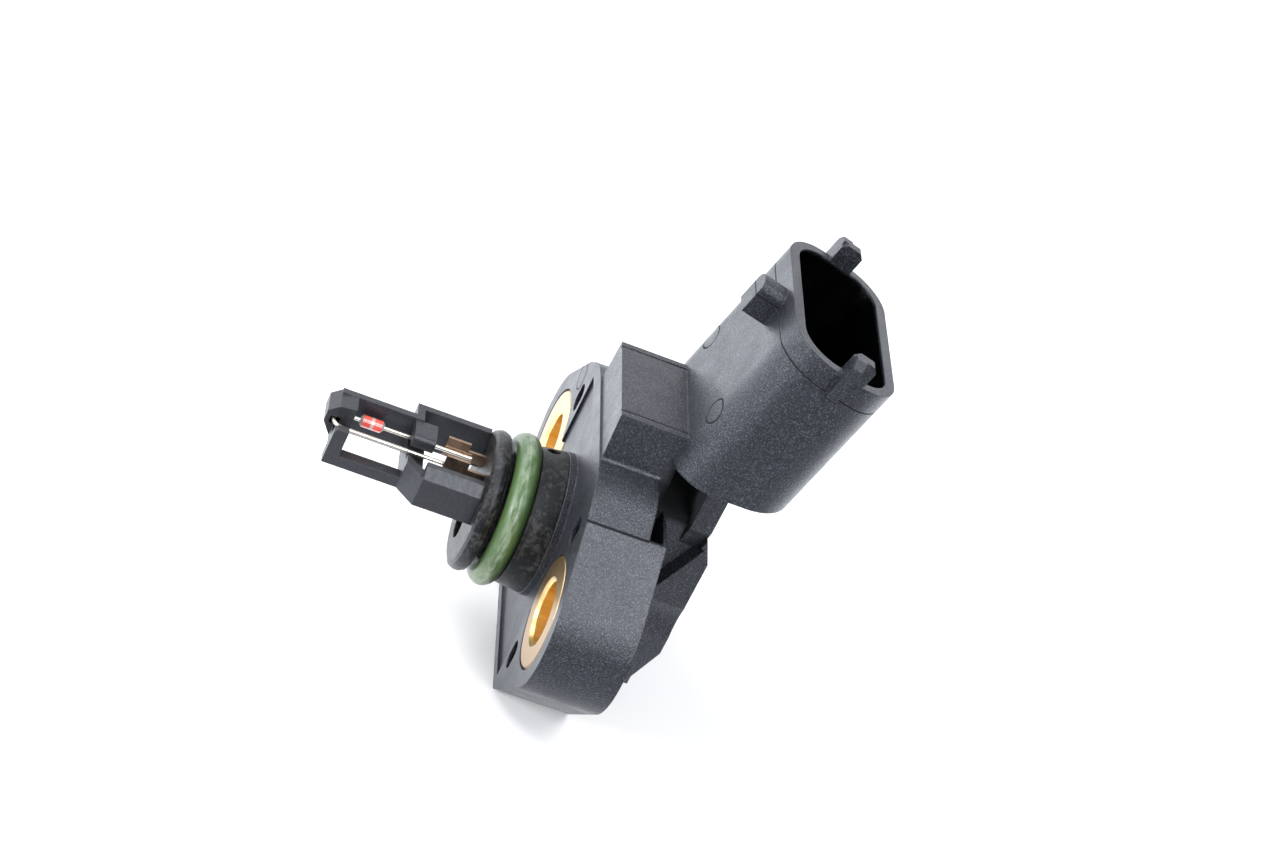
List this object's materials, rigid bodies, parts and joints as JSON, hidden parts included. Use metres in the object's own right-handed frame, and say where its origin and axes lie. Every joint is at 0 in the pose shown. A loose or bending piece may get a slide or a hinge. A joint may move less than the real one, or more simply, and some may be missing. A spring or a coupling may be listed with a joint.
{
  "type": "manifold absolute pressure sensor",
  "caption": "Pressure and temperature sensor for an intake manifold: two-lobed plastic flange with brass bushes, sealed port stem with a caged bead thermistor, and a tilted plug socket.",
  "frame": {"origin": "where the axis of the port stem meets the mounting face, midway between the two screw holes", "axes": "+Y away from the manifold, square to the mounting face; +Z towards the plug socket; X from one screw hole to the other"},
  "size_m": [0.0454, 0.0475, 0.0493],
  "materials": {
    "housing_plastic": "satin, glass-filled",
    "stem_plastic": "matt, mottled",
    "cage_plastic": "satin",
    "seal_rubber": "satin",
    "bush_brass": "turned",
    "bead_glass": "gloss",
    "tinned_wire": "satin",
    "terminal_copper": "satin",
    "pin_tin": "satin",
    "board_laminate": "satin",
    "gel_frame_plastic": "matt",
    "die_silicon": "polished",
    "pedestal_glass": "gloss",
    "gel_silicone": "gloss",
    "capacitor_ceramic": "matt",
    "lid_plastic": "satin, glass-filled",
    "adhesive_silicone": "satin"
  },
  "bodies": {
    "root": {"housing": "housing_plastic", "port_stem": "stem_plastic", "probe_cage": "cage_plastic", "o_ring": "seal_rubber", "bush_left": "bush_brass", "bush_right": "bush_brass", "thermistor_bead": "bead_glass", "thermistor_lead_signal": "tinned_wire", "thermistor_lead_return": "tinned_wire", "thermistor_terminal_left": "terminal_copper", "thermistor_terminal_right": "terminal_copper", "connector_pin_1": "pin_tin", "connector_pin_2": "pin_tin", "connector_pin_3": "pin_tin", "connector_pin_4": "pin_tin", "circuit_board": "board_laminate", "gel_frame": "gel_frame_plastic", "pressure_die": "die_silicon", "die_pedestal": "pedestal_glass", "protective_gel": "gel_silicone", "capacitor_1": "capacitor_ceramic", "capacitor_2": "capacitor_ceramic", "capacitor_3": "capacitor_ceramic", "cover_lid": "lid_plastic", "cover_adhesive": "adhesive_silicone"}
  },
  "joints": []
}
